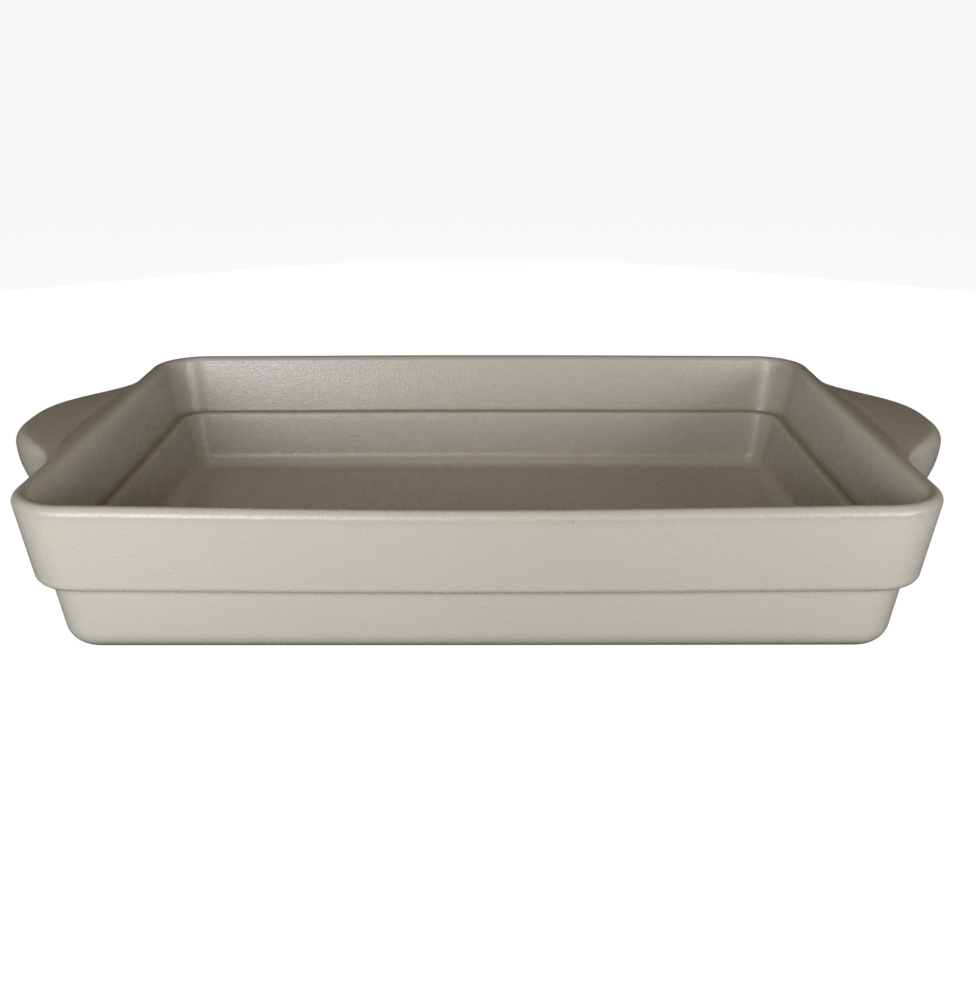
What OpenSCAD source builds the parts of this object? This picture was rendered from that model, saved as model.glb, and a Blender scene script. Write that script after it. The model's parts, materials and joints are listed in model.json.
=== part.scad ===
// Rectangular porcelain baking dish in two tiers, with a wing handle at each short end.
// The origin is on the surface that the dish stands on, under the middle of the floor.
// X runs along the dish, Y across it and Z up.

/* [Rim] */
// Length of the dish over the rim, without the handles
rim_length = 330; // [300:1:380]
// Width of the dish over the rim
rim_width = 234; // [212:1:280]
// Plan radius of the rim's corners
corner_r = 27.5; // [27:0.5:36]
// Thickness of the rounded lip and of the wall below it
lip_thickness = 5.8; // [5:0.1:6.4]
// Height of the rim, from its seam with the wall to the crown of the lip
rim_height = 7; // [5:0.5:9]

/* [Walls] */
// Height of the dish, from the foot to the crown of the lip
dish_height = 62; // [58:0.5:70]
// Height of the upper band, from the outer step to the crown
band_height = 32.8; // [31:0.1:36]
// Depth of the inner ledge below the crown
ledge_depth = 28.8; // [25:0.1:29.2]
// Lean of the walls, in degrees off the upright
wall_lean = 9.6; // [6:0.1:10.5]
// Width of the outer step under the upper band
outer_step = 4.7; // [4.5:0.1:5.5]
// Width of the ledge inside the dish
inner_ledge = 4.3; // [3.6:0.1:4.5]
// Radius of the upper band's rounded lower edge
band_edge_r = 2.6; // [2:0.1:3.8]
// Radius of the fillet under the outer step
step_fillet_r = 0.6; // [0.3:0.1:0.7]
// Radius of the crease at the back of the inner ledge
ledge_crease_r = 1; // [0.5:0.1:1.2]
// Radius of the ledge's soft front edge
ledge_edge_r = 2.2; // [1:0.1:2.4]
// Radius of the cove between wall and floor
cove_r = 8; // [6:0.5:8.5]
// Radius of the rounded edge round the base
base_edge_r = 8; // [4:0.5:8.5]

/* [Base] */
// Thickness of the floor
floor_thickness = 5.5; // [4.5:0.1:7]
// Height of the unglazed foot ring
foot_height = 1.5; // [1:0.1:2.5]
// Width of the foot ring where it leaves the base
foot_width = 4; // [3:0.5:5]
// Distance from the rounded base edge to the foot ring
foot_inset = 0.5; // [0.5:0.5:1.5]
// Bevel along the foot ring's lower edges
foot_bevel = 0.5; // [0.2:0.1:0.8]

/* [Handles] */
// Reach of a handle beyond the rim
handle_reach = 30.3; // [26:0.1:36]
// Length of a handle along the short side, with its blends
handle_length = 132; // [110:1:150]
// Fullness of the handle's outline, more being squarer
handle_fullness = 1.35; // [1.1:0.05:1.6]
// Depth of the shallow valley between the lip and the handle's level top
valley_depth = 0.9; // [0.5:0.1:1.2]
// Width of that valley
valley_width = 8; // [6:0.5:10]
// Radius of the handle's upper shoulder
shoulder_r = 6.5; // [4:0.5:8]
// Radius of the handle's gently rounded flank
flank_r = 34; // [26:1:40]
// Angle that the flank turns through, in degrees
flank_turn = 26; // [18:1:28]
// Radius of the handle's lower edge
lower_edge_r = 5; // [4:0.5:6]
// Thickness of the handle over the finger groove
plate_thickness = 11; // [9:0.5:12]
// Radius of the finger groove's two upper corners
groove_r = 5; // [3:0.5:6]

/* [Hidden] */

glaze_colour = [0.74, 0.72, 0.66];
bare_colour = [0.80, 0.75, 0.68];

// Facets of a whole circle in plan, and steps of an arc in an outline
round_facets = 128;
arc_steps = 8;

// Worked-out places are rounded to this step, so that faces which meet agree to the last digit
finest_step = 0.001;
function rounded(value) = round(value / finest_step) * finest_step;

lean_tan = tan(wall_lean);
lean_cos = cos(wall_lean);
lean_sin = sin(wall_lean);
lip_r = lip_thickness / 2;

// Plan: centres of the rim's corners
corner_x = rim_length / 2 - corner_r;
corner_y = rim_width / 2 - corner_r;

// Heights
lip_z = dish_height - lip_r;
rim_seam_z = dish_height - rim_height;
ledge_z = dish_height - ledge_depth;
step_z = dish_height - band_height;
floor_z = foot_height + floor_thickness;

// An outline's point is [inset from the rim's outermost line, height].
// The four wall faces, as insets at a height
function band_out(z) = lip_r - lip_r / lean_cos + (lip_z - z) * lean_tan;
function band_in(z) = lip_r + lip_r / lean_cos + (lip_z - z) * lean_tan;
function base_out(z) = band_out(z) + outer_step;
function base_in(z) = band_in(z) + inner_ledge;

// An arc whose angle is 0 where it faces out of the dish and 90 where it faces up
function arc(centre, r, from, to, steps = arc_steps) =
    [for (i = [0 : steps]) let (a = from + (to - from) * i / steps) centre + r * [-cos(a), sin(a)]];

lip_centre = [lip_r, lip_z];
band_edge_centre = [band_out(step_z + band_edge_r) + band_edge_r / lean_cos, step_z + band_edge_r];
crease_centre = [band_in(ledge_z + ledge_crease_r) + ledge_crease_r / lean_cos, ledge_z + ledge_crease_r];
ledge_edge_centre = [base_in(ledge_z - ledge_edge_r) - ledge_edge_r / lean_cos, ledge_z - ledge_edge_r];
fillet_centre = [base_out(step_z - step_fillet_r) - step_fillet_r / lean_cos, step_z - step_fillet_r];
base_edge_centre = [base_out(foot_height + base_edge_r) + base_edge_r / lean_cos, foot_height + base_edge_r];
cove_centre = [base_in(floor_z + cove_r) + cove_r / lean_cos, floor_z + cove_r];
floor_inset = cove_centre[0];
foot_out = base_edge_centre[0] + foot_inset;

// Handle section: its arcs run on from one another, from the crown round to the wall
shoulder_centre = [shoulder_r - handle_reach, dish_height - shoulder_r];
flank_centre = [flank_r - handle_reach, shoulder_centre[1]];
lower_edge_centre = flank_centre + (flank_r - lower_edge_r) * [-cos(flank_turn), -sin(flank_turn)];
groove_face_turn = 165;
groove_face = lower_edge_centre + lower_edge_r * [-cos(groove_face_turn), -sin(groove_face_turn)];
groove_z = dish_height - plate_thickness - groove_r;
groove_out_inset = groove_face[0]
    - (groove_r + (groove_z - groove_face[1]) * sin(groove_face_turn)) / cos(groove_face_turn);
groove_in_inset = band_out(groove_z) - groove_r / lean_cos;
root_point = [groove_in_inset, groove_z] + groove_r * [lean_cos, lean_sin];
root_z = root_point[1];

// The flat face that a handle shares with the rim and the wall, from the crown to its root
function seat_inset(z) =
    lip_r + (root_point[0] - lip_r) * (dish_height - z) / (dish_height - root_z);

// The wall's own face under a handle, by the share of the way from the crown to the root
lip_run = lip_r * (90 + wall_lean) * PI / 180;
face_run = (lip_z - lip_r * lean_sin - root_z) / lean_cos;
function wall_face(share) =
    let (run = share * (lip_run + face_run))
    run < lip_run
        ? lip_centre + lip_r * [-cos(90 - run / lip_r * 180 / PI), sin(90 - run / lip_r * 180 / PI)]
        : let (z = lip_z - lip_r * lean_sin - (run - lip_run) * lean_cos) [band_out(z), z];

// Six stretches of the handle's section, and the share of the wall's face that each grows from
valley_steps = 8;
handle_stretches = [
    [for (i = [0 : valley_steps]) let (share = i / valley_steps)
        [lip_r - valley_width * share, dish_height - valley_depth * (1 - cos(360 * share)) / 2]],
    arc(shoulder_centre, shoulder_r, 90, 0, 6),
    arc(flank_centre, flank_r, -flank_turn / 4, -flank_turn, 3),
    arc(lower_edge_centre, lower_edge_r, -flank_turn - 20, -groove_face_turn, 6),
    arc([groove_out_inset, groove_z], groove_r, 180 - groove_face_turn, 90, 3),
    arc([groove_in_inset, groove_z], groove_r, 90, 180 - wall_lean, 3)
];
stretch_shares = [[0, 0.12], [0.14, 0.30], [0.38, 0.70], [0.73, 0.88], [0.90, 0.95], [0.96, 1]];
handle_section = [for (stretch = handle_stretches) for (point = stretch) point];
section_shares = [for (k = [0 : len(handle_stretches) - 1]) let (last = len(handle_stretches[k]) - 1)
    for (i = [0 : last]) stretch_shares[k][0] + (stretch_shares[k][1] - stretch_shares[k][0]) * i / last];
handle_stations = 36;

// Wall outlines
rim_outline = concat(
    [[band_out(rim_seam_z), rim_seam_z]],
    arc(lip_centre, lip_r, -wall_lean, 90),
    arc(lip_centre, lip_r, 90 + 90 / arc_steps, 180 - wall_lean, arc_steps - 1),
    [[band_in(rim_seam_z), rim_seam_z]]);
seated_rim_outline = concat(
    [[seat_inset(rim_seam_z), rim_seam_z], [lip_r, dish_height]],
    arc(lip_centre, lip_r, 90 + 90 / arc_steps, 180 - wall_lean, arc_steps - 1),
    [[band_in(rim_seam_z), rim_seam_z]]);
band_lower_outline = concat(
    arc(crease_centre, ledge_crease_r, -wall_lean, -90, arc_steps / 2),
    arc(ledge_edge_centre, ledge_edge_r, 90, 180 - wall_lean),
    [[base_in(step_z), step_z]],
    arc(band_edge_centre, band_edge_r, -90, -wall_lean));
band_outline = concat([[band_in(rim_seam_z), rim_seam_z]], band_lower_outline,
    [[band_out(rim_seam_z), rim_seam_z]]);
seated_band_outline = concat([[band_in(rim_seam_z), rim_seam_z]], band_lower_outline,
    [root_point, [seat_inset(rim_seam_z), rim_seam_z]]);
lower_wall_outline = concat(
    arc(fillet_centre, step_fillet_r, 90, 180 - wall_lean, arc_steps / 2),
    arc(base_edge_centre, base_edge_r, -wall_lean, -90),
    [[floor_inset, foot_height]],
    arc(cove_centre, cove_r, -90, -wall_lean),
    [[base_in(step_z), step_z]]);
foot_outline = [
    [foot_out, foot_height], [foot_out + foot_bevel, 0],
    [foot_out + foot_width - foot_bevel, 0], [foot_out + foot_width, foot_height]];

// The outline set out from an axis: radius r is the rim's outermost line
function from_axis(outline, r) = [for (p = outline) [r - rounded(p[0]), rounded(p[1])]];

// A straight run of the outline along X, facing +Y and centred on the Y axis
module straight_run(outline, length, reach) {
    translate([-length / 2, 0, 0]) rotate([90, 0, 90])
        linear_extrude(height = length) polygon(from_axis(outline, reach));
}

// The corner between the +X side and the +Y side
module corner(outline) {
    translate([corner_x, corner_y, 0]) rotate_extrude(angle = 90, $fn = round_facets)
        polygon(from_axis(outline, corner_r));
}

// A closed wall with four corners, whose short sides are seated over the handles' length
module ring(outline, seated) {
    end_length = corner_y - handle_length / 2;
    for (side = [0, 1]) mirror([side, 0, 0]) {
        rotate([0, 0, -90]) straight_run(seated, handle_length, corner_x + corner_r);
        for (end = [0, 1]) mirror([0, end, 0]) {
            translate([0, corner_y - end_length / 2, 0]) rotate([0, 0, -90])
                straight_run(outline, end_length, corner_x + corner_r);
            corner(outline);
        }
    }
    for (side = [0, 1]) mirror([0, side, 0])
        straight_run(outline, 2 * corner_x, corner_y + corner_r);
}

// Flat floor panel inside the cove
module floor_panel() {
    r = corner_r - rounded(floor_inset);
    color(glaze_colour) translate([0, 0, foot_height]) linear_extrude(height = floor_thickness) union() {
        square([2 * (corner_x + r), 2 * corner_y], center = true);
        square([2 * corner_x, 2 * (corner_y + r)], center = true);
        for (x = [-corner_x, corner_x], y = [-corner_y, corner_y]) translate([x, y])
            circle(r = r, $fn = round_facets);
    }
}

// Low unglazed ring that the dish stands on
module foot_ring() {
    color(bare_colour) ring(foot_outline, foot_outline);
}

// Lower tier, with the rounded base edge outside and the cove inside
module lower_wall() {
    color(glaze_colour) ring(lower_wall_outline, lower_wall_outline);
}

// Upper tier, whose outer step and inner ledge are one thickened course
module upper_wall() {
    color(glaze_colour) ring(band_outline, seated_band_outline);
}

// Rounded lip
module rim() {
    color(glaze_colour) ring(rim_outline, seated_rim_outline);
}

// A handle grows out of the wall's own face: at each station along the short side, every point
// of its section has moved the same share of the way from that face to the full section.
module handle() {
    count = len(handle_section);
    face = [for (share = section_shares) wall_face(share)];
    points = [for (i = [0 : handle_stations])
        let (along = 2 * i / handle_stations - 1,
            grown = (1 + cos(180 * pow(abs(along), handle_fullness))) / 2)
        for (j = [0 : count - 1])
            let (p = face[j] + grown * (handle_section[j] - face[j]))
            [rim_length / 2 - p[0], along * handle_length / 2, p[1]]];
    skin = [for (i = [0 : handle_stations - 1]) for (j = [0 : count - 1])
        let (a = i * count + j, b = i * count + (j + 1) % count)
        each [[a, b, b + count], [a, b + count, a + count]]];
    caps = [[0, for (j = [count - 1 : -1 : 1]) j], [for (j = [0 : count - 1]) handle_stations * count + j]];
    color(glaze_colour) polyhedron(points = points, faces = concat(skin, caps));
}

module right_handle() {
    handle();
}

module left_handle() {
    mirror([1, 0, 0]) handle();
}

floor_panel();  // floor
foot_ring();
lower_wall();
upper_wall();
rim();
left_handle();
right_handle();
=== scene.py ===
# Rectangular baking dish in two tiers, with a wing handle at each short end.
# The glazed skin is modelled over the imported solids, piece by piece, and lit in a small studio.
import bpy
import bmesh
import json
import math
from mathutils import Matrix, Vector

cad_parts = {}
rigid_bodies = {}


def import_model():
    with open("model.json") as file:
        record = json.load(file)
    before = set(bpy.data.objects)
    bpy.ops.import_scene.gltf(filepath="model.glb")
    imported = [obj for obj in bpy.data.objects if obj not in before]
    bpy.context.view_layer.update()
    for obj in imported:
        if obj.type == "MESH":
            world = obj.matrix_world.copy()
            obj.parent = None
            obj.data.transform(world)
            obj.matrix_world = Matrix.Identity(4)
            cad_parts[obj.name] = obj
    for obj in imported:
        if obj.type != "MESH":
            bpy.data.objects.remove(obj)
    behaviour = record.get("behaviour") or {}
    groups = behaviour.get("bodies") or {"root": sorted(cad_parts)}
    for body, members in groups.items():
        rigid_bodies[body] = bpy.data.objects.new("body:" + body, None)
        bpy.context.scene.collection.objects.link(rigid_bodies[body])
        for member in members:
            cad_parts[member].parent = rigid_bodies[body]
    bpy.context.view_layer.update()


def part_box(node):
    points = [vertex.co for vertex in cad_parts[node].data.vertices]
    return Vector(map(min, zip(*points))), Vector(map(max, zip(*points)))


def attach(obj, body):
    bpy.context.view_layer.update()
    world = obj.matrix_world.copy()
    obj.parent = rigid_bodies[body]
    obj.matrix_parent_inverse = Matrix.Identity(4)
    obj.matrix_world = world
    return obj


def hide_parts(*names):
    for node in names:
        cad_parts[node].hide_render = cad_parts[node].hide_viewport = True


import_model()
mm = 0.001
weld = 2e-6         # corners closer than this are one
hair = 1e-6         # slack for comparing places of one mesh
slack = 0.1 * mm    # slack for places that the operators reached on their own

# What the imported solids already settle
rimLow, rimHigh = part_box("rim")
bandLow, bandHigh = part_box("upper_wall")
floorLow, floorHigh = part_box("floor")
handleLow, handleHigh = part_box("right_handle")

dish = {
    "length": rimHigh.x - rimLow.x,
    "width": rimHigh.y - rimLow.y,
    "height": rimHigh.z,
    "rimSeam": rimLow.z,
    "step": bandLow.z - 0.4 * mm,      # the band's soft edge hangs a little under the solids' step
    "floorTop": floorHigh.z,
    "foot": floorLow.z,
    "cornerRadius": 27.5 * mm,
    "lean": math.radians(9.6),
    "lip": 2.9 * mm,
    "outerStep": 4.7 * mm,
    "innerLedge": 4.3 * mm,
    "ledgeDepth": 27.9 * mm,
    "bandEdge": 3.5 * mm,
    "stepFillet": 1.0 * mm,
    "crease": 1.0 * mm,
    "ledgeEdge": 1.4 * mm,
    "cove": 8 * mm,
    "baseEdge": 10.5 * mm,
}

# What firing did to the dish that the solids leave out
firing = {
    "cornerRadius": 23.2 * mm,     # the lip's corners drew tighter
    "cornerShare": 0.82,           # and lose this share of each inset, so the base's corners stay rounder
    "bow": 3.6 * mm,               # how far the long walls bow out at the lip
    "sag": 0.35 * mm,              # how far their middle sank
}

stations = {"corner": 20, "long": 36, "end": 4, "handle": 68}   # edges of each stretch of the plan
endStretch = 8 * mm     # the ends' straight stretches beside the handles are longer than this

arcSteps = {    # edges of each arc of the outlines and of the handles' section
    "lip": 20,
    "crease": 8,
    "ledgeEdge": 10,
    "bandEdge": 12,
    "fillet": 6,
    "cove": 16,
    "baseEdge": 12,
    "foot": 5,
    "valley": 12,
    "shoulder": 14,
    "flank": 12,
    "lowerEdge": 16,
    "groove": 6,
}

# Rows above the ledge's crease and below the step, in mm: they keep the edge of the pooled glaze and its
# painted crease shade short
creaseRows = (9, 5, 3.4, 2.2)
stepRows = (1.8, 2.8, 4, 8)

handle = {
    "reach": handleHigh.x - rimHigh.x,
    "half": (handleHigh.y - handleLow.y) / 2,
    "fullness": 1.35,
    "valley": 0.9 * mm,      # shallow valley between the lip and the level top
    "valleyWidth": 8 * mm,
    "shoulder": 6.5 * mm,
    "flank": 34 * mm,
    "flankTurn": math.radians(26),
    "lowerEdge": 5 * mm,
    "plate": 11 * mm,
    "groove": 5 * mm,
    "grooveFace": math.radians(165),
}

foot = {"width": 3 * mm, "inset": 0.3 * mm, "slope": 0.3 * mm, "edge": 0.4 * mm}

floorPanel = {"cuts": 12, "hollow": 0.3 * mm}

cornerX = dish["length"] / 2 - dish["cornerRadius"]
cornerY = dish["width"] / 2 - dish["cornerRadius"]
lean = dish["lean"]
lip = dish["lip"]
lipZ = dish["height"] - lip


# Outlines: a point is (inset from the rim's outermost line, height)

def bandOut(z):
    return lip - lip / math.cos(lean) + (lipZ - z) * math.tan(lean)


def bandIn(z):
    return lip + lip / math.cos(lean) + (lipZ - z) * math.tan(lean)


def baseOut(z):
    return bandOut(z) + dish["outerStep"]


def baseIn(z):
    return bandIn(z) + dish["innerLedge"]


def arc(centre, radius, start, end, steps):
    turn = [start + (end - start) * i / steps for i in range(steps + 1)]
    return [(centre[0] - radius * math.cos(a), centre[1] + radius * math.sin(a)) for a in turn]


ledgeZ = dish["height"] - dish["ledgeDepth"]
quarter = math.pi / 2
leanBack = math.pi - lean


def roundAt(face, z, radius):   # centre of an arc that leaves a wall's face at that height
    return (face(z) + radius / math.cos(lean), z)


bandEdgeAt = roundAt(bandOut, dish["step"] + dish["bandEdge"], dish["bandEdge"])
creaseAt = roundAt(bandIn, ledgeZ + dish["crease"], dish["crease"])
ledgeEdgeAt = roundAt(baseIn, ledgeZ - dish["ledgeEdge"], -dish["ledgeEdge"])
filletAt = roundAt(baseOut, dish["step"] - dish["stepFillet"], -dish["stepFillet"])
baseEdgeAt = roundAt(baseOut, dish["foot"] + dish["baseEdge"], dish["baseEdge"])
coveAt = roundAt(baseIn, dish["floorTop"] + dish["cove"], dish["cove"])
floorInset = coveAt[0]
footOut = baseEdgeAt[0] + foot["inset"]

# Handle section, as in the solids: arcs that run on from one another
shoulderAt = (handle["shoulder"] - handle["reach"], dish["height"] - handle["shoulder"])
flankAt = (handle["flank"] - handle["reach"], shoulderAt[1])
lowerAt = (flankAt[0] - (handle["flank"] - handle["lowerEdge"]) * math.cos(handle["flankTurn"]),
           flankAt[1] - (handle["flank"] - handle["lowerEdge"]) * math.sin(handle["flankTurn"]))
faceEnd = (lowerAt[0] - handle["lowerEdge"] * math.cos(handle["grooveFace"]),
           lowerAt[1] - handle["lowerEdge"] * math.sin(handle["grooveFace"]))
grooveZ = dish["height"] - handle["plate"] - handle["groove"]
faceRise = handle["groove"] + (grooveZ - faceEnd[1]) * math.sin(handle["grooveFace"])
grooveOut = faceEnd[0] - faceRise / math.cos(handle["grooveFace"])
grooveIn = bandOut(grooveZ) - handle["groove"] / math.cos(lean)
rootAt = (grooveIn + handle["groove"] * math.cos(lean), grooveZ + handle["groove"] * math.sin(lean))
crownAt = (lip, dish["height"])

lipRun = lip * (quarter + lean)
faceRun = (lipZ - lip * math.sin(lean) - rootAt[1]) / math.cos(lean)
wholeRun = lipRun + faceRun


def wallFace(share):
    run = share * wholeRun
    if run < lipRun:
        turn = quarter - run / lip
        return (lip - lip * math.cos(turn), lipZ + lip * math.sin(turn))
    z = lipZ - lip * math.sin(lean) - (run - lipRun) * math.cos(lean)
    return (bandOut(z), z)


def shareAt(inset, z):
    if z > lipZ - lip * math.sin(lean):
        turn = math.atan2(z - lipZ, lip - inset)
        return (quarter - turn) * lip / wholeRun
    return (lipRun + (lipZ - lip * math.sin(lean) - z) / math.cos(lean)) / wholeRun


equatorShare = shareAt(0, lipZ)
seamShare = shareAt(bandOut(dish["rimSeam"]), dish["rimSeam"])
seamOnSeat = (dish["height"] - dish["rimSeam"]) / (dish["height"] - rootAt[1])


def valleyPoint(part):
    fall = handle["valley"] * (1 - math.cos(2 * math.pi * part)) / 2
    return (lip - handle["valleyWidth"] * part, dish["height"] - fall)


def handleArc(name, centre, start, end):
    return arc(centre, handle[name], start, end, arcSteps[name])


valleyCurve = [valleyPoint(i / arcSteps["valley"]) for i in range(arcSteps["valley"] + 1)]
stretches = [   # share of the wall's face from, to, and the curve that grows from it
    (0.00, 0.12, valleyCurve),
    (0.14, 0.30, handleArc("shoulder", shoulderAt, quarter, 0)),
    (0.30, 0.70, handleArc("flank", flankAt, 0, -handle["flankTurn"])),
    (0.70, 0.88, handleArc("lowerEdge", lowerAt, -handle["flankTurn"], -handle["grooveFace"])),
    (0.90, 0.95, handleArc("groove", (grooveOut, grooveZ), math.pi - handle["grooveFace"], quarter)),
    (0.96, 1.00, handleArc("groove", (grooveIn, grooveZ), quarter, leanBack)),
]
sectionCurve = [(a + (b - a) * i / (len(curve) - 1), point)
                for a, b, curve in stretches for i, point in enumerate(curve)]


def sectionAt(share):
    for (a, p), (b, q) in zip(sectionCurve, sectionCurve[1:]):
        if a <= share <= b and b > a:
            part = (share - a) / (b - a)
            return (p[0] + (q[0] - p[0]) * part, p[1] + (q[1] - p[1]) * part)
    return rootAt if share > 0.5 else crownAt


def seatAt(share):
    part = share / seamShare * seamOnSeat if share < seamShare else \
        seamOnSeat + (share - seamShare) / (1 - seamShare) * (1 - seamOnSeat)
    return (crownAt[0] + (rootAt[0] - crownAt[0]) * part, crownAt[1] + (rootAt[1] - crownAt[1]) * part)


# Rows of the outer face, from the crown to the handles' root: one for each point of their section
betweenShares = {0.127, 0.134, 0.89, 0.955}     # rows where one curve leads over to the next
rowGap = 0.005      # a row closer than this to the lip's equator or the seam gives way to it
rowShares = sorted({round(s, 6) for s, point in sectionCurve} | betweenShares)
for special in (equatorShare, seamShare):
    rowShares = [s for s in rowShares if abs(s - special) > rowGap] + [special]
rowShares.sort()


# Modelling helpers

def insetOf(x, y):
    dx, dy = abs(x) - cornerX, abs(y) - cornerY
    if dx > 0 and dy > 0:
        return dish["cornerRadius"] - math.hypot(dx, dy)
    return dish["cornerRadius"] - max(dx, dy)


def clearAll():
    if bpy.context.object and bpy.context.object.mode == "EDIT":
        bpy.ops.object.mode_set(mode="OBJECT")
    bpy.ops.object.select_all(action="DESELECT")


def editOnly(piece):
    clearAll()
    piece.select_set(True)
    bpy.context.view_layer.objects.active = piece
    bpy.ops.object.mode_set(mode="EDIT")


def pickEdges(piece, test):
    bpy.ops.mesh.select_mode(type="EDGE")
    bpy.ops.mesh.select_all(action="DESELECT")
    shape = bmesh.from_edit_mesh(piece.data)
    for edge in shape.edges:
        if test(edge, (edge.verts[0].co + edge.verts[1].co) / 2):
            edge.select_set(True)
    bmesh.update_edit_mesh(piece.data)


def pickFaces(piece, test):
    bpy.ops.mesh.select_mode(type="FACE")
    bpy.ops.mesh.select_all(action="DESELECT")
    shape = bmesh.from_edit_mesh(piece.data)
    for face in shape.faces:
        if test(face.calc_center_median(), face.normal):
            face.select_set(True)
    bmesh.update_edit_mesh(piece.data)


def faceWay(piece, way):    # the chosen face looks up (1) or down (-1)
    shape = bmesh.from_edit_mesh(piece.data)
    chosen = [face for face in shape.faces if face.select]
    if chosen[0].normal.z * way < 0:
        bpy.ops.mesh.flip_normals()


def joinUp(name, parts):
    clearAll()
    for part in parts:
        part.select_set(True)
    bpy.context.view_layer.objects.active = parts[0]
    bpy.ops.object.join()
    parts[0].name = parts[0].data.name = name
    return parts[0]


def layPlan(name, start):   # the dish's plan at one point of an outline, as one face with all its stations
    clearAll()
    bpy.ops.mesh.primitive_plane_add(size=1, location=(0, 0, 0))
    piece = bpy.context.object
    piece.name = piece.data.name = name
    bpy.ops.object.mode_set(mode="EDIT")
    bpy.ops.transform.resize(value=(dish["length"], dish["width"], 1))
    bpy.ops.mesh.bevel(offset=dish["cornerRadius"], segments=stations["corner"], affect="VERTICES")
    bpy.ops.mesh.delete(type="ONLY_FACE")
    for side in (-1, 1):    # a station at each end of the handles
        bpy.ops.mesh.select_all(action="SELECT")
        bpy.ops.mesh.bisect(plane_co=(0, side * handle["half"], 0), plane_no=(0, 1, 0))
    for count, test in (
        (stations["long"], lambda e, m: abs(m.x) < mm and e.calc_length() > cornerX),
        (stations["handle"], lambda e, m: abs(m.y) < mm and e.calc_length() > handle["half"]),
        (stations["end"], lambda e, m: abs(m.x) > cornerX and abs(m.y) > handle["half"]
            and e.calc_length() > endStretch),
    ):
        pickEdges(piece, test)
        bpy.ops.mesh.subdivide(number_cuts=count - 1)
    bpy.ops.mesh.select_all(action="SELECT")
    bpy.ops.mesh.edge_face_add()
    bpy.ops.transform.translate(value=(0, 0, start[1]))
    faceWay(piece, 1)
    if start[0] > 0:
        bpy.ops.mesh.select_mode(type="FACE")
        bpy.ops.mesh.inset(thickness=start[0], depth=0)
        bpy.ops.mesh.select_all(action="INVERT")
        bpy.ops.mesh.delete(type="FACE")
        bpy.ops.mesh.select_all(action="SELECT")
    return piece


def followOutline(path, way):   # one inset of the chosen face for each point
    bpy.ops.mesh.select_mode(type="FACE")
    for a, b in zip(path, path[1:]):
        bpy.ops.mesh.inset(thickness=max(0, b[0] - a[0]), depth=(b[1] - a[1]) * way)


def makeRing(name, upper, lower):   # both paths start at the outermost point and end on the innermost wall
    piece = layPlan(name, upper[0])
    followOutline(upper, 1)
    bpy.ops.mesh.delete(type="ONLY_FACE")
    start = upper[0]
    pickEdges(piece, lambda e, m: e.is_boundary and abs(m.z - start[1]) < hair
              and insetOf(m.x, m.y) < start[0] + slack)
    bpy.ops.mesh.edge_face_add()
    faceWay(piece, -1)
    followOutline(lower, -1)
    bpy.ops.mesh.delete(type="ONLY_FACE")
    if math.dist(upper[-1], lower[-1]) > slack:
        pickEdges(piece, lambda e, m: e.is_boundary)
        bpy.ops.mesh.bridge_edge_loops()
    bpy.ops.mesh.select_all(action="SELECT")
    bpy.ops.mesh.remove_doubles(threshold=weld)
    bpy.ops.mesh.normals_make_consistent(inside=False)
    clearAll()
    print(name, "has", len(piece.data.polygons), "faces")
    return piece


# Pieces

rim = makeRing("glazedRim",
    [wallFace(s) for s in reversed(rowShares) if s <= equatorShare]
    + arc((lip, lipZ), lip, quarter, leanBack, arcSteps["lip"])[1:]
    + [(bandIn(dish["rimSeam"]), dish["rimSeam"])],
    [wallFace(s) for s in rowShares if equatorShare <= s <= seamShare])

upperWall = makeRing("glazedUpperWall",
    [wallFace(seamShare), (bandIn(dish["rimSeam"]), dish["rimSeam"])]
    + [(bandIn(ledgeZ + rise * mm), ledgeZ + rise * mm) for rise in creaseRows]
    + arc(creaseAt, dish["crease"], -lean, -quarter, arcSteps["crease"])
    + arc(ledgeEdgeAt, dish["ledgeEdge"], quarter, leanBack, arcSteps["ledgeEdge"])
    + [(baseIn(dish["step"]), dish["step"])],
    [wallFace(s) for s in rowShares if s >= seamShare]
    + arc(bandEdgeAt, dish["bandEdge"], -lean, -quarter, arcSteps["bandEdge"])
    + [(filletAt[0], dish["step"]), (baseIn(dish["step"]), dish["step"])])

lowerWall = makeRing("glazedLowerWall",
    [(filletAt[0], dish["step"]), (baseIn(dish["step"]), dish["step"])]
    + arc(coveAt, dish["cove"], -lean, -quarter, arcSteps["cove"]),
    arc(filletAt, dish["stepFillet"], quarter, leanBack, arcSteps["fillet"])
    + [(baseOut(dish["step"] - fall * mm), dish["step"] - fall * mm) for fall in stepRows]
    + arc(baseEdgeAt, dish["baseEdge"], -lean, -quarter, arcSteps["baseEdge"])
    + [(floorInset, dish["foot"])])

footRound = foot["slope"] + foot["edge"]
footIn = footOut + foot["width"]
footRing = makeRing("bareFootRing",
    [(footOut, dish["foot"]), (footIn, dish["foot"])],
    [(footOut, dish["foot"])]
    + arc((footOut + footRound, foot["edge"]), foot["edge"], 0, -quarter, arcSteps["foot"])
    + arc((footIn - footRound, foot["edge"]), foot["edge"], -quarter, -math.pi, arcSteps["foot"])
    + [(footIn, dish["foot"])])

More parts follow.
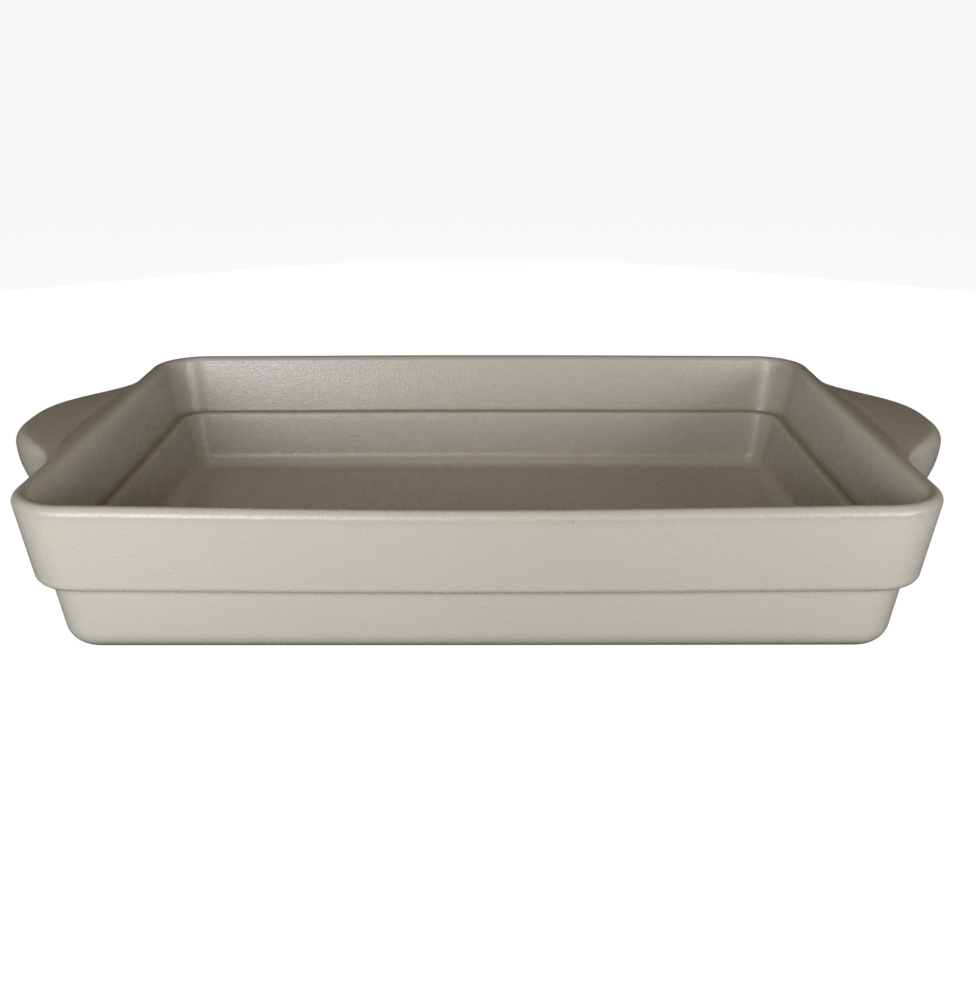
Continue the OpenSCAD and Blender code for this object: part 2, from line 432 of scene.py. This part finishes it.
# The floor is a slab between the coves that sank a little in its middle
floor = layPlan("glazedFloor", (floorInset, dish["foot"]))
bpy.ops.mesh.extrude_region_move(TRANSFORM_OT_translate={"value": (0, 0, dish["floorTop"] - dish["foot"])})
for axis, span in ((0, floorHigh.x), (1, floorHigh.y)):
    for cut in range(1, floorPanel["cuts"]):
        at, way = [0, 0, 0], [0, 0, 0]
        at[axis], way[axis] = span * (2 * cut / floorPanel["cuts"] - 1), 1
        pickFaces(floor, lambda c, n: abs(n.z) > 0.5)
        bpy.ops.mesh.bisect(plane_co=at, plane_no=way)
bpy.ops.mesh.select_all(action="SELECT")
bpy.ops.mesh.normals_make_consistent(inside=False)
clearAll()
for corner in floor.data.vertices:
    if corner.co.z > dish["foot"] + mm:
        fallX = math.cos(quarter * min(1, abs(corner.co.x) / floorHigh.x))
        fallY = math.cos(quarter * min(1, abs(corner.co.y) / floorHigh.y))
        corner.co.z -= floorPanel["hollow"] * (fallX * fallY) ** 2
print(floor.name, "has", len(floor.data.polygons), "faces")


# Where the glaze ran thin or pooled, with painted shade on the lip, the crown and in the creases: a share
# from 0 to 1 at each corner of the mesh

coat = {
    "endsWider": 0.6,       # how much wider the pooled lines and their painted crease shade are on the short ends
    "handleShare": 0.4,     # how thin the coat is on the handles' edges, in the colour that also paints shade on the lip
}
diagonal = 0.7      # an arc's middle lies about this share of its radius out and up

# Thin coat on the crown and the lip; its darker colour there is partly painted shade
thinAndShadeSpots = [       # place on the outline and reach
    (crownAt, 2.6 * mm),
    ((0.3 * mm, lipZ + 1.2 * mm), 2.2 * mm),
]
# Pooled glaze in the ledge's crease and under the step, drawn dark enough to be painted crease shade as well
pooledAndShadeSpots = [
    ((bandIn(ledgeZ) + 0.4 * mm, ledgeZ), 1.1 * mm),
    ((baseOut(dish["step"]), dish["step"]), 1.2 * mm),
]
handleSpots = [
    ((shoulderAt[0] - diagonal * handle["shoulder"], shoulderAt[1] + diagonal * handle["shoulder"]), 4 * mm),
    ((lowerAt[0] - handle["lowerEdge"], lowerAt[1] - handle["lowerEdge"] / 2), 3 * mm),
]


def spotAt(point, spots, widen=1):
    return max(math.exp(-(math.dist(point, place) / reach / widen) ** 2) for place, reach in spots)


def endShare(x, y):     # 1 on the short ends, 0 on the long sides
    dx, dy = max(0, abs(x) - cornerX), max(0, abs(y) - cornerY)
    return dx / math.hypot(dx, dy) if dx > 0 else 0


def markGlaze(piece, thinAndShade, pooledAndShade):
    for name, values in (("thinGlaze", thinAndShade), ("pooledGlaze", pooledAndShade)):
        mark = piece.data.attributes.new(name, "FLOAT", "POINT")
        mark.data.foreach_set("value", values)


for piece in (rim, upperWall, lowerWall, footRing, floor):
    places = [corner.co for corner in piece.data.vertices]
    points = [(insetOf(at.x, at.y), at.z) for at in places]
    thinAndShade = [spotAt(point, thinAndShadeSpots) for point in points]
    wider = [1 + coat["endsWider"] * endShare(at.x, at.y) for at in places]
    pooledAndShade = [spotAt(point, pooledAndShadeSpots, widen) for point, widen in zip(points, wider)]
    markGlaze(piece, thinAndShade, pooledAndShade)


# Handles: they grow out of the wall's own face, which no operator does, so their vertices are moved in code

def inZone(at, side):
    onEnd = side * at.x > cornerX and abs(at.y) < handle["half"]
    return onEnd and insetOf(at.x, at.y) < lip and at.z > rootAt[1]


def copyZone(piece, side):
    editOnly(piece)
    pickFaces(piece, lambda c, n: inZone(c, side))
    bpy.ops.mesh.duplicate()
    bpy.ops.mesh.separate(type="SELECTED")
    clearAll()
    return [other for other in bpy.context.scene.objects if other.name.startswith(piece.name + ".")][0]


skin = joinUp("rightHandleSkin", [copyZone(rim, 1), copyZone(upperWall, 1)])
editOnly(skin)
bpy.ops.mesh.select_all(action="SELECT")
bpy.ops.mesh.remove_doubles(threshold=weld)
pickEdges(skin, lambda e, m: e.is_boundary)
bpy.ops.mesh.mark_sharp()
clearAll()
skin.select_set(True)
bpy.context.view_layer.objects.active = skin
bpy.ops.object.duplicate()
seat = bpy.context.object


def setSeat(corners, side):
    for corner in corners:
        x, y, z = corner.co
        inset = insetOf(x, y)
        inside = side * x > cornerX and abs(y) < handle["half"] - slack
        if inside and inset < lip + hair and z > rootAt[1] - hair:
            point = seatAt(shareAt(inset, z))
            corner.co = (side * (dish["length"] / 2 - point[0]), y, point[1])


setSeat(seat.data.vertices, 1)
# the thin coat on the handles' edges, in the colour that also paints shade on the lip and the crown
thinAndShadeOnSkin = skin.data.attributes["thinGlaze"].data
for corner in skin.data.vertices:
    x, y, z = corner.co
    share = shareAt(insetOf(x, y), z)
    face, full = wallFace(share), sectionAt(share)
    grown = (1 + math.cos(math.pi * abs(y / handle["half"]) ** handle["fullness"])) / 2
    point = (face[0] + grown * (full[0] - face[0]), face[1] + grown * (full[1] - face[1]))
    corner.co = (dish["length"] / 2 - point[0], y, point[1])
    onEdge = grown * coat["handleShare"] * spotAt(full, handleSpots)
    thinAndShadeOnSkin[corner.index].value = max(spotAt(point, thinAndShadeSpots), onEdge)

editOnly(seat)
bpy.ops.mesh.select_all(action="SELECT")
bpy.ops.mesh.flip_normals()
rightHandle = joinUp("glazedRightHandle", [skin, seat])
editOnly(rightHandle)
bpy.ops.mesh.select_all(action="SELECT")
bpy.ops.mesh.remove_doubles(threshold=weld)
clearAll()
rightHandle.select_set(True)
bpy.context.view_layer.objects.active = rightHandle
bpy.ops.object.duplicate()
leftHandle = bpy.context.object
leftHandle.name = leftHandle.data.name = "glazedLeftHandle"
editOnly(leftHandle)
bpy.ops.mesh.select_all(action="SELECT")
bpy.ops.transform.resize(value=(-1, 1, 1), center_override=(0, 0, 0))
bpy.ops.mesh.flip_normals()
clearAll()

for wall in (rim, upperWall):
    editOnly(wall)
    for side in (-1, 1):
        pickEdges(wall, lambda e, m: sum(inZone(f.calc_center_median(), side) for f in e.link_faces) == 1)
        bpy.ops.mesh.mark_sharp()
    clearAll()
    for side in (-1, 1):
        setSeat(wall.data.vertices, side)
print("both handles have", len(rightHandle.data.polygons), "faces each")

# Firing: the corners draw tighter, the long walls bow out towards the lip and their middle sinks
pieces = {
    "rim": rim,
    "upper_wall": upperWall,
    "lower_wall": lowerWall,
    "foot_ring": footRing,
    "floor": floor,
    "left_handle": leftHandle,
    "right_handle": rightHandle,
}
smoothBelow = math.radians(28)


def tighten(x, y):   # where a place of the built plan goes once the corners have drawn tighter
    inset = min(insetOf(x, y), floorInset)
    radius = firing["cornerRadius"] - firing["cornerShare"] * inset
    stretch = radius / (dish["cornerRadius"] - inset)
    centreX = dish["length"] / 2 - inset - radius
    centreY = dish["width"] / 2 - inset - radius
    farX = centreX + (abs(x) - cornerX) * stretch if abs(x) > cornerX else abs(x) * centreX / cornerX
    farY = abs(y)
    if farY > cornerY:
        farY = centreY + (farY - cornerY) * stretch
    elif farY > handle["half"]:
        part = (farY - handle["half"]) / (cornerY - handle["half"])
        farY = handle["half"] + part * (centreY - handle["half"])
    return math.copysign(farX, x), math.copysign(farY, y)


for piece in pieces.values():
    for corner in piece.data.vertices:
        x, y = tighten(corner.co.x, corner.co.y)
        rise = corner.co.z / dish["height"]
        along = min(1, abs(x) / (dish["length"] / 2 - firing["cornerRadius"]))
        across = min(1, abs(y) / (dish["width"] / 2 - firing["cornerRadius"]))
        ends = (along ** 2 + math.sin(quarter * along) ** 2) / 2
        corner.co.x = x
        corner.co.y = y - math.copysign(firing["bow"] * rise * ends * across, y)
        corner.co.z -= firing["sag"] * rise * (1 - ends) * across ** 2

clearAll()
for node, piece in pieces.items():
    piece.select_set(True)
    bpy.context.view_layer.objects.active = piece
    bpy.ops.object.shade_smooth_by_angle(angle=smoothBelow, keep_sharp_edges=True)
    piece.select_set(False)
    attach(piece, "root")
    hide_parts(node)
    "bare_foot" if node == "foot_ring" else "glaze"
print("pieces fired and smoothed")


# Materials

class Wire:     # one output of a shader, which can be reckoned with
    def __init__(self, shader, socket):
        self.shader, self.socket = shader, socket

    def reckon(self, operation, *values):
        return self.shader.node("Math", {"operation": operation}, dict(enumerate(values)))

    def __add__(self, other):
        return self.reckon("ADD", self, other)

    def __sub__(self, other):
        return self.reckon("SUBTRACT", self, other)

    def __mul__(self, other):
        return self.reckon("MULTIPLY", self, other)

    __radd__, __rmul__ = __add__, __mul__


class Shader:
    def __init__(self, name):
        self.material = bpy.data.materials.new(name)
        self.material.use_nodes = True
        self.tree = self.material.node_tree
        self.tree.nodes.clear()

    def node(self, kind, settings=None, values=None, output=0):
        made = self.tree.nodes.new("ShaderNode" + kind)
        for key, setting in (settings or {}).items():
            setattr(made, key, setting)
        for key, value in (values or {}).items():
            if isinstance(value, Wire):
                self.tree.links.new(value.socket, made.inputs[key])
            else:
                made.inputs[key].default_value = value
        return Wire(self, made.outputs[output]) if made.outputs else made

    def ramp(self, value, start, end, first=0.0, last=1.0, way="LINEAR"):
        return self.node("MapRange", {"interpolation_type": way}, {
            0: value, 1: start, 2: end, 3: first, 4: last})

    def blend(self, part, first, second):   # from one colour to another
        return self.node("Mix", {"data_type": "RGBA"}, {0: part, 6: first, 7: second}, 2)


glaze = {
    "colour": (0.405, 0.381, 0.320, 1),
    "drift": (0.382, 0.360, 0.298, 1),      # where the coat is a little thicker
    "thinAndShade": (0.318, 0.301, 0.250, 1),       # thin coat on the lip and the handles' edges, darkened further as painted shade on the lip and the crown
    "pooledAndShade": (0.175, 0.158, 0.100, 1),     # pooled glaze in the creases, darkened further as painted crease shade
    "clayAndShade": (0.170, 0.110, 0.065, 1),      # the base's lower edge, where the clay shows through, darkened further as painted shade where the edge turns under
    "speck": (0.230, 0.190, 0.140, 1),
    "pooledAndShadeShare": 0.8,
    "clayAndShadeShare": 0.85,
    "speckShare": 0.55,
    "clayAndShadeFrom": dish["foot"] + 5.4 * mm,
    "clayAndShadeFull": dish["foot"] + 1.2 * mm,
    "ior": 1.5,
    "roughness": 0.21,                      # to which the mottle and the thin coat add
    "peel": 1.0 * mm,                       # size of the orange peel
    "peelDepth": 0.17 * mm,
}
glazeNoise = {      # scale, detail, roughness
    "drift": (11.0, 3.0, 0.5),
    "mottle": (140.0, 4.0, 0.6),
    "grain": (1400.0, 2.0, 0.6),
    "peel": (1 / glaze["peel"], 3.0, 0.5),
    "rare": (90.0, 1.0, 0.5),
}
specks = {"scale": 170.0, "core": 0.055, "edge": 0.10, "rareFrom": 0.60, "rareFull": 0.66}


def makeGlaze():
    s = Shader("satinGlaze")
    at = s.node("TexCoord", output=3)
    drift, mottle, grain, peel, rare = [
        s.node("TexNoise", {}, {"Vector": at, "Scale": scale, "Detail": detail, "Roughness": rough})
        for scale, detail, rough in glazeNoise.values()]
    cell = s.node("TexVoronoi", {"feature": "F1"}, {"Vector": at, "Scale": specks["scale"]})
    near = s.ramp(cell, specks["core"], specks["edge"], 1.0, 0.0)
    seldom = s.ramp(rare, specks["rareFrom"], specks["rareFull"])
    speck = near * seldom
    thinAndShade = s.node("Attribute", {"attribute_name": "thinGlaze"}, output=2)
    pooledAndShade = s.node("Attribute", {"attribute_name": "pooledGlaze"}, output=2)
    cloud = s.ramp(drift * 0.55 + mottle * 0.3 + grain * 0.15, 0.35, 0.65)
    colour = s.blend(cloud, glaze["colour"], glaze["drift"])
    # thin coat, partly painted shade: a darker colour dims the lip and the crown
    colour = s.blend(thinAndShade * (0.75 + mottle * 0.3), colour, glaze["thinAndShade"])
    # pooled glaze, partly painted shade: the creases and the step are darkened
    colour = s.blend(pooledAndShade * glaze["pooledAndShadeShare"], colour, glaze["pooledAndShade"])
    colour = s.blend(speck * glaze["speckShare"], colour, glaze["speck"])
    height = s.node("SeparateXYZ", {}, {"Vector": at}, 2)
    # base's lower edge: clay showing through, plus painted shade where the edge turns under towards the
    # floor
    clayAndShadeMask = s.ramp(height + mottle * mm, glaze["clayAndShadeFull"], glaze["clayAndShadeFrom"], 1.0, 0.0, "SMOOTHSTEP")
    colour = s.blend(clayAndShadeMask * glaze["clayAndShadeShare"], colour, glaze["clayAndShade"])
    rough = glaze["roughness"] + mottle * 0.12 + thinAndShade * 0.14 - pooledAndShade * 0.05
    relief = peel + grain * 0.12 - speck * 0.5
    bump = s.node("Bump", {}, {"Strength": 1.0, "Distance": glaze["peelDepth"], "Height": relief})
    skinShader = s.node("BsdfPrincipled", {}, {
        "Base Color": colour, "Roughness": rough, "Normal": bump, "IOR": glaze["ior"]})
    s.node("OutputMaterial", {}, {"Surface": skinShader})
    return s.material


bare = {
    "colour": (0.560, 0.490, 0.400, 1),
    "grit": (0.430, 0.370, 0.300, 1),
    "roughness": 0.85,
    "cloudScale": 120.0,
    "gritScale": 2600.0,
    "gritDepth": 0.03 * mm,
}


def makeBare():
    s = Shader("bareCeramic")
    at = s.node("TexCoord", output=3)
    cloud = s.node("TexNoise", {}, {"Vector": at, "Scale": bare["cloudScale"], "Detail": 4.0})
    grit = s.node("TexNoise", {}, {"Vector": at, "Scale": bare["gritScale"], "Detail": 2.0})
    colour = s.blend(cloud * 0.6 + grit * 0.4, bare["colour"], bare["grit"])
    bump = s.node("Bump", {}, {"Strength": 1.0, "Distance": bare["gritDepth"], "Height": grit})
    bareShader = s.node("BsdfPrincipled", {}, {
        "Base Color": colour, "Roughness": bare["roughness"] + cloud * 0.1, "Normal": bump})
    s.node("OutputMaterial", {}, {"Surface": bareShader})
    return s.material


glazeMaterial, bareMaterial = makeGlaze(), makeBare()
for node, piece in pieces.items():
    piece.data.materials.clear()
    piece.data.materials.append(bareMaterial if node == "foot_ring" else glazeMaterial)
print("glaze and bare foot finished")


# Studio

studio = {
    "camera": (3.05 * mm, -476.46 * mm, 199.22 * mm),
    "pitch": math.radians(20.286),
    "yaw": math.radians(-0.10),
    "focal": 1150,      # in pixels of a picture this wide
    "picture": 976,
    "sensor": 36,
    "nearest": 0.02,
    "farthest": 50,
    "air": (1.0, 0.58, 0.20, 1),
    "airStrength": 0.03,
}

eyeData = bpy.data.cameras.new("eye")
eye = bpy.data.objects.new("eye", eyeData)
bpy.context.scene.collection.objects.link(eye)
eye.location = studio["camera"]
eye.rotation_euler = (quarter - studio["pitch"], 0, studio["yaw"])
eyeData.sensor_fit = "HORIZONTAL"
eyeData.sensor_width = studio["sensor"]
eyeData.lens = studio["sensor"] * studio["focal"] / studio["picture"]
eyeData.clip_start, eyeData.clip_end = studio["nearest"], studio["farthest"]
bpy.context.scene.camera = eye

lamps = {   # bearing and height in degrees as seen from the dish, distance, width, height, watts, colour
    "keyLeft": (-25, 8.5, 0.5, 0.05, 0.13, 1.28, (0.87, 0.91, 1.0)),
    "edgeLeft": (-42, 14, 0.5, 0.12, 0.12, 0.42, (1.0, 1.0, 0.99)),
    "edgeRight": (44, 12, 0.5, 0.12, 0.12, 0.56, (1.0, 1.0, 0.99)),
    "lowRight": (40, 8, 0.5, 0.06, 0.10, 0.72, (0.86, 0.88, 1.0)),
    "front": (-12, 22, 1.3, 0.8, 0.8, 6.1, (0.94, 0.97, 1.0)),
    "overhead": (0, 84, 1.1, 0.6, 0.6, 1.7, (1.0, 0.84, 0.66)),
    "fillLeft": (-148, 3, 0.8, 0.40, 0.08, 3.2, (1.0, 0.97, 0.91)),
    "fillRight": (148, 3, 0.8, 0.40, 0.08, 3.2, (1.0, 0.97, 0.91)),
}
for name, (bearing, height, distance, width, tall, watts, colour) in lamps.items():
    lampData = bpy.data.lights.new(name, "AREA")
    lampData.shape = "RECTANGLE"
    lampData.size, lampData.size_y = width, tall
    lampData.energy, lampData.color = watts, colour
    lamp = bpy.data.objects.new(name, lampData)
    bpy.context.scene.collection.objects.link(lamp)
    turn, climb = math.radians(bearing), math.radians(height)
    flat, rise = distance * math.cos(climb), distance * math.sin(climb)
    lamp.location = (flat * math.sin(turn), -flat * math.cos(turn), dish["height"] / 2 + rise)
    lamp.rotation_euler = (quarter - climb, 0, turn)
    lamp.visible_camera = False
    lamp.visible_glossy = abs(turn) < quarter   # the fills behind the dish leave no shine on its rim

world = bpy.data.worlds.new("studioAir")
bpy.context.scene.world = world
world.use_nodes = True
air = world.node_tree.nodes["Background"]
air.inputs["Color"].default_value = studio["air"]
air.inputs["Strength"].default_value = studio["airStrength"]

# A wide pale floor that turns up far behind everything, so that no horizon shows
sweep = {"sides": 96, "radius": 6, "rise": 4, "paper": (0.22, 0.22, 0.22, 1), "glow": 0.92}

clearAll()
bpy.ops.mesh.primitive_circle_add(
    vertices=sweep["sides"], radius=sweep["radius"], fill_type="NGON", location=(0, 0, 0))
table = bpy.context.object
table.name = table.data.name = "paleFloor"
bpy.ops.object.mode_set(mode="EDIT")
pickEdges(table, lambda e, m: e.is_boundary)
bpy.ops.mesh.extrude_region_move(TRANSFORM_OT_translate={"value": (0, 0, sweep["rise"])})
clearAll()
paper = Shader("palePaper")
paper.node("OutputMaterial", {}, {"Surface": paper.node("BsdfPrincipled", {}, {
    "Base Color": sweep["paper"], "Roughness": 0.8, "Specular IOR Level": 0.0,
    "Emission Color": (1, 1, 1, 1), "Emission Strength": sweep["glow"]})})
paper.material.cycles.emission_sampling = "NONE"   # it lights nothing, it is only seen
table.data.materials.append(paper.material)
table.visible_diffuse = table.visible_glossy = False

view = bpy.context.scene.view_settings
view.view_transform, view.look, view.exposure, view.gamma = "Standard", "None", 0, 1
print("studio set")
